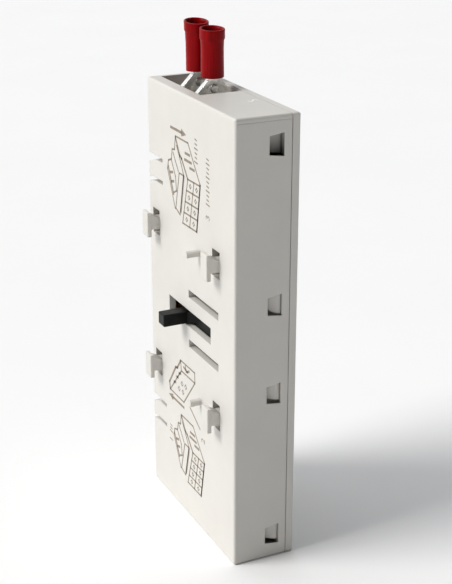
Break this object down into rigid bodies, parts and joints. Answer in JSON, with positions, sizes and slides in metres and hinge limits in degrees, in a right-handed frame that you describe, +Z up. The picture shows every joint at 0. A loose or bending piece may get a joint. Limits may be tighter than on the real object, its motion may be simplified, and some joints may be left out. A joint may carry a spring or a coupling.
{
  "type": "contactor side module",
  "caption": "Slim clip-on side module for a DIN-rail contactor, with T-hooks, a trip lever in a slot, and two push-on wire disconnects in a top pocket.",
  "frame": {"origin": "centre of the housing's bottom end face, on it", "axes": "+X from the hook face to the cover, -Y to the narrow front face with the snap windows, +Z up the long side to the terminals"},
  "size_m": [0.0176, 0.0397, 0.1],
  "materials": {
    "housing_plastic": "fine moulded texture",
    "black_plastic": "moulded, slightly shiny",
    "spring_steel": "drawn wire and strip",
    "bobbin_plastic": "moulded",
    "copper": "enamelled copper",
    "tape": "yellow polyester tape",
    "magnet_steel": "zinc plated",
    "arm_plastic": "glass-filled, grey",
    "carrier_plastic": "glass-filled, dark grey",
    "tinned_brass": "bright tin plating",
    "red_vinyl": "soft sheen",
    "suppressor_lacquer": "dipped lacquer",
    "lead_wire": "tinned copper"
  },
  "bodies": {
    "housing": {"main_housing": "housing_plastic", "side_cover": "housing_plastic", "detent_leaf": "spring_steel", "coil_bobbin": "bobbin_plastic", "coil_winding": "copper", "coil_tape": "tape", "coil_yoke": "magnet_steel", "fixed_core": "magnet_steel", "plunger_spring": "spring_steel", "terminal_carrier": "carrier_plastic", "suppressor_disc": "suppressor_lacquer", "terminal_tab_front": "tinned_brass", "terminal_tab_rear": "tinned_brass", "coil_lead_front": "lead_wire", "coil_lead_rear": "lead_wire", "suppressor_leg_front": "lead_wire", "suppressor_leg_rear": "lead_wire"},
    "slider": {"trip_slider": "black_plastic"},
    "solenoid_plunger": {"plunger": "magnet_steel", "release_arm": "arm_plastic"},
    "disconnect_front": {"receptacle_front": "tinned_brass", "sleeve_front": "red_vinyl"},
    "disconnect_rear": {"receptacle_rear": "tinned_brass", "sleeve_rear": "red_vinyl"}
  },
  "joints": [
    {"name": "slider_travel", "type": "slide", "parent": "housing", "child": "slider", "axis": [0, 1, 0], "range_m": [-0.006, 0.004]},
    {"name": "plunger_travel", "type": "slide", "parent": "housing", "child": "solenoid_plunger", "axis": [0, 0, 1], "range_m": [0, 0.002], "stiffness_N_per_m": 5, "springref_m": -0.004, "deforming": ["plunger_spring"]},
    {"name": "disconnect_front_pull", "type": "slide", "parent": "housing", "child": "disconnect_front", "axis": [0, 0, 1], "range_m": [0, 0.012]},
    {"name": "disconnect_rear_pull", "type": "slide", "parent": "housing", "child": "disconnect_rear", "axis": [0, 0, 1], "range_m": [0, 0.012]}
  ]
}
